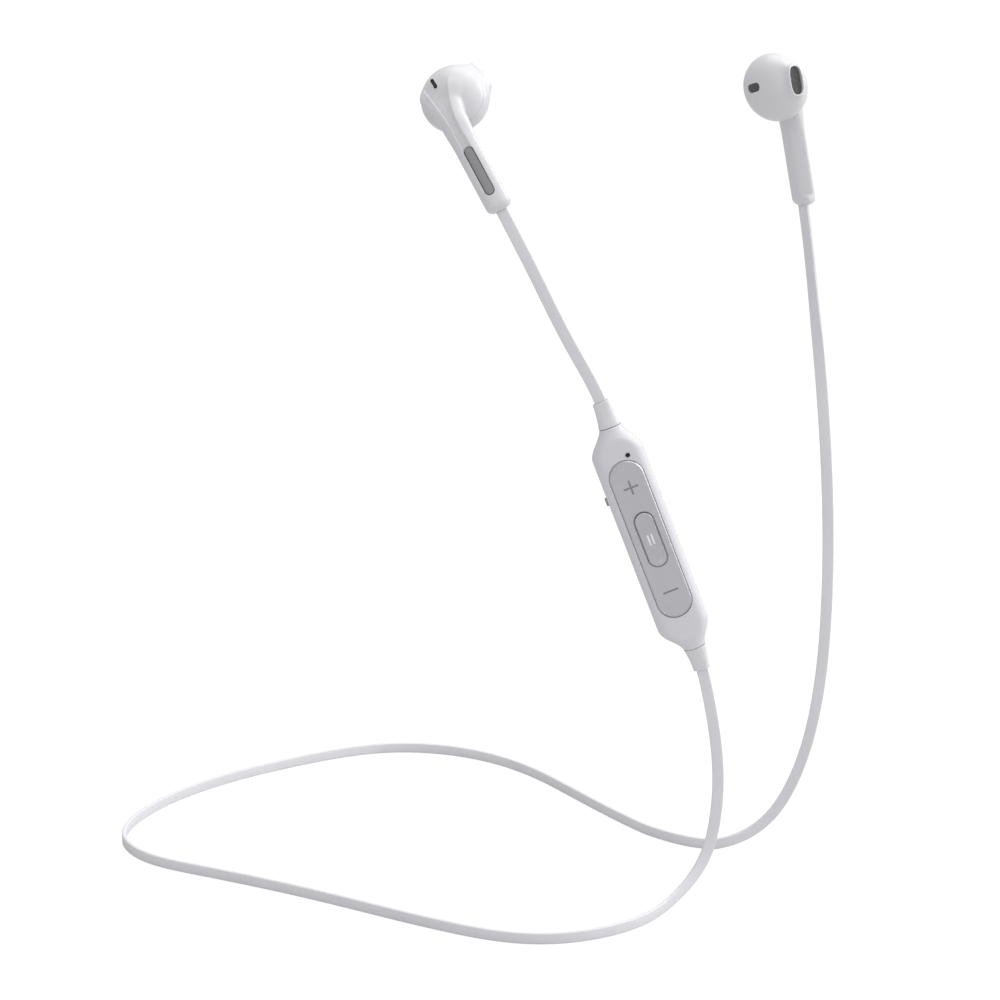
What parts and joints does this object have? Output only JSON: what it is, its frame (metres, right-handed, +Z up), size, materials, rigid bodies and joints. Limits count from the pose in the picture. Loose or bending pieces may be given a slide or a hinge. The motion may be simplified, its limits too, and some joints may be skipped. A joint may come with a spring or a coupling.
{
  "type": "neckband earphones",
  "caption": "Flat-ribbon earphones with an in-line control pod, a long neck loop lying on its edge, a rocker key plate and stemmed oval earbuds with side nozzles.",
  "frame": {"origin": "centre of the bounding box on the ground, under the standing loop of cable", "axes": "+Z up along the standing earbuds, -Y towards the keys of the control pod, +X towards the wearer-left earbud side"},
  "size_m": [0.202, 0.1466, 0.229],
  "materials": {
    "board_green": "solder mask",
    "cell_foil": "foil",
    "ceramic": "ceramic",
    "chip_black": "matte",
    "copper": "enamelled wire",
    "film": "thin film",
    "frame_dark": "matte",
    "gasket_black": "matte",
    "inlay_grey": "matte",
    "key_grey": "fine satin",
    "magnet": "plated",
    "mesh_black": "blackened woven mesh",
    "steel": "bright",
    "white_casing": "satin moulded",
    "white_soft": "matte elastomer"
  },
  "bodies": {
    "control_pod": {"battery_cell": "cell_foil", "battery_tab": "steel", "charge_socket_shell": "steel", "charge_socket_tongue": "chip_black", "chip_antenna": "ceramic", "left_cable_root": "white_soft", "main_circuit_board": "board_green", "microphone_capsule": "steel", "microphone_gasket": "gasket_black", "play_dome": "steel", "pod_front_casing": "white_casing", "pod_rear_casing": "white_casing", "radio_chip": "chip_black", "right_cable_root": "white_soft", "rocker_yoke": "frame_dark", "strain_relief_lower": "white_soft", "strain_relief_upper": "white_soft", "volume_down_dome": "steel", "volume_up_dome": "steel"},
    "left_ribbon_1": {"left_cable_1": "white_soft"},
    "left_ribbon_10": {"left_cable_10": "white_soft"},
    "left_ribbon_2": {"left_cable_2": "white_soft"},
    "left_ribbon_3": {"left_cable_3": "white_soft"},
    "left_ribbon_4": {"left_cable_4": "white_soft"},
    "left_ribbon_5": {"left_cable_5": "white_soft"},
    "left_ribbon_6": {"left_cable_6": "white_soft"},
    "left_ribbon_7": {"left_cable_7": "white_soft"},
    "left_ribbon_8": {"left_cable_8": "white_soft"},
    "left_ribbon_9": {"left_cable_9": "white_soft"},
    "left_cone": {"left_diaphragm": "film", "left_voice_coil": "copper"},
    "left_earbud": {"left_cable_clamp": "frame_dark", "left_cable_tail": "white_soft", "left_driver_frame": "frame_dark", "left_driver_magnet": "magnet", "left_face_vent_mesh": "mesh_black", "left_front_shell": "white_casing", "left_nozzle_mesh": "mesh_black", "left_rear_shell": "white_casing", "left_rear_vent_mesh": "mesh_black", "left_stem_inlay": "inlay_grey"},
    "play_key": {"play_button": "key_grey"},
    "port_flap": {"port_cover": "white_soft"},
    "right_ribbon_1": {"right_cable_1": "white_soft"},
    "right_ribbon_2": {"right_cable_2": "white_soft"},
    "right_cone": {"right_diaphragm": "film", "right_voice_coil": "copper"},
    "right_earbud": {"right_cable_clamp": "frame_dark", "right_cable_tail": "white_soft", "right_driver_frame": "frame_dark", "right_driver_magnet": "magnet", "right_face_vent_mesh": "mesh_black", "right_front_shell": "white_casing", "right_nozzle_mesh": "mesh_black", "right_rear_shell": "white_casing", "right_rear_vent_mesh": "mesh_black", "right_stem_inlay": "inlay_grey"},
    "volume_rocker": {"volume_rocker_plate": "key_grey"}
  },
  "joints": [
    {"name": "volume_rocker_tilt", "type": "hinge", "parent": "control_pod", "child": "volume_rocker", "pos_m": [0.048, -0.04736, 0.10432], "axis": [0.9323, 0.0471, 0.3586], "range_deg": [-1.2, 1.2], "stiffness_Nm_per_rad": 1.5},
    {"name": "play_button_press", "type": "slide", "parent": "control_pod", "child": "play_key", "axis": [-0.044, 0.9989, -0.0169], "range_m": [0, 0.0003], "stiffness_N_per_m": 1500},
    {"name": "port_cover_swing", "type": "hinge", "parent": "control_pod", "child": "port_flap", "pos_m": [0.0401, -0.0444, 0.10493], "axis": [0.044, -0.9989, 0.0169], "range_deg": [0, 100]},
    {"name": "right_cable_bend_1", "type": "hinge", "parent": "control_pod", "child": "right_ribbon_1", "pos_m": [0.03012, -0.04526, 0.14942], "axis": [0.8736, 0, 0.4867], "range_deg": [-35, 35], "stiffness_Nm_per_rad": 0.35},
    {"name": "right_cable_bend_2", "type": "hinge", "parent": "right_ribbon_1", "child": "right_ribbon_2", "pos_m": [0.0203, -0.04426, 0.16794], "axis": [-0.8952, 0.0156, -0.4454], "range_deg": [-35, 35], "stiffness_Nm_per_rad": 0.35},
    {"name": "right_earbud_twist", "type": "hinge", "parent": "right_ribbon_2", "child": "right_earbud", "pos_m": [0.01265, -0.04216, 0.18297], "axis": [-0.4599, 0.1916, 0.867], "range_deg": [-90, 90], "stiffness_Nm_per_rad": 0.12},
    {"name": "right_diaphragm_travel", "type": "slide", "parent": "right_earbud", "child": "right_cone", "axis": [0.2137, 0.9269, -0.3085], "range_m": [-0.0002, 0.0002], "stiffness_N_per_m": 800},
    {"name": "left_cable_bend_1", "type": "hinge", "parent": "control_pod", "child": "left_ribbon_1", "pos_m": [0.06509, -0.04523, 0.0557], "axis": [-0.982, 0, -0.1887], "range_deg": [-35, 35], "stiffness_Nm_per_rad": 0.35},
    {"name": "left_cable_bend_2", "type": "hinge", "parent": "left_ribbon_1", "child": "left_ribbon_2", "pos_m": [0.0578, -0.04972, 0.00532], "axis": [0.4606, 0.2795, -0.8424], "range_deg": [-30, 30], "stiffness_Nm_per_rad": 0.35},
    {"name": "left_cable_bend_3", "type": "hinge", "parent": "left_ribbon_2", "child": "left_ribbon_3", "pos_m": [-0.00619, -0.06467, 0.00155], "axis": [-0.0001, 0, 1], "range_deg": [-35, 35], "stiffness_Nm_per_rad": 0.35},
    {"name": "left_cable_bend_4", "type": "hinge", "parent": "left_ribbon_3", "child": "left_ribbon_4", "pos_m": [-0.07175, -0.0283, 0.00155], "axis": [0, 0, -1], "range_deg": [-40, 8], "stiffness_Nm_per_rad": 0.35},
    {"name": "left_cable_bend_5", "type": "hinge", "parent": "left_ribbon_4", "child": "left_ribbon_5", "pos_m": [-0.0922, 0.02565, 0.00155], "axis": [0, 0, 1], "range_deg": [-5, 40], "stiffness_Nm_per_rad": 0.35},
    {"name": "left_cable_bend_6", "type": "hinge", "parent": "left_ribbon_5", "child": "left_ribbon_6", "pos_m": [-0.03859, 0.06923, 0.00155], "axis": [0, 0, -1], "range_deg": [-40, 8], "stiffness_Nm_per_rad": 0.35},
    {"name": "left_cable_bend_7", "type": "hinge", "parent": "left_ribbon_6", "child": "left_ribbon_7", "pos_m": [0.02456, 0.04268, 0.00155], "axis": [0, 0, 1], "range_deg": [-12, 40], "stiffness_Nm_per_rad": 0.35},
    {"name": "left_cable_bend_8", "type": "hinge", "parent": "left_ribbon_7", "child": "left_ribbon_8", "pos_m": [0.07537, -0.0076, 0.0031], "axis": [0.3359, 0.008, -0.9419], "range_deg": [-35, 30], "stiffness_Nm_per_rad": 0.35},
    {"name": "left_cable_bend_9", "type": "hinge", "parent": "left_ribbon_8", "child": "left_ribbon_9", "pos_m": [0.09927, -0.01126, 0.0648], "axis": [-0.9994, 0, 0.0347], "range_deg": [-40, 40], "stiffness_Nm_per_rad": 0.35},
    {"name": "left_cable_bend_10", "type": "hinge", "parent": "left_ribbon_9", "child": "left_ribbon_10", "pos_m": [0.09662, -0.01501, 0.12958], "axis": [0.995, 0, 0.1004], "range_deg": [-40, 40], "stiffness_Nm_per_rad": 0.35},
    {"name": "left_earbud_twist", "type": "hinge", "parent": "left_ribbon_10", "child": "left_earbud", "pos_m": [0.09024, -0.01863, 0.18013], "axis": [-0.1499, -0.074, 0.9859], "range_deg": [-90, 90], "stiffness_Nm_per_rad": 0.12},
    {"name": "left_diaphragm_travel", "type": "slide", "parent": "left_earbud", "child": "left_cone", "axis": [-0.7079, -0.6794, -0.1931], "range_m": [-0.0002, 0.0002], "stiffness_N_per_m": 800}
  ]
}
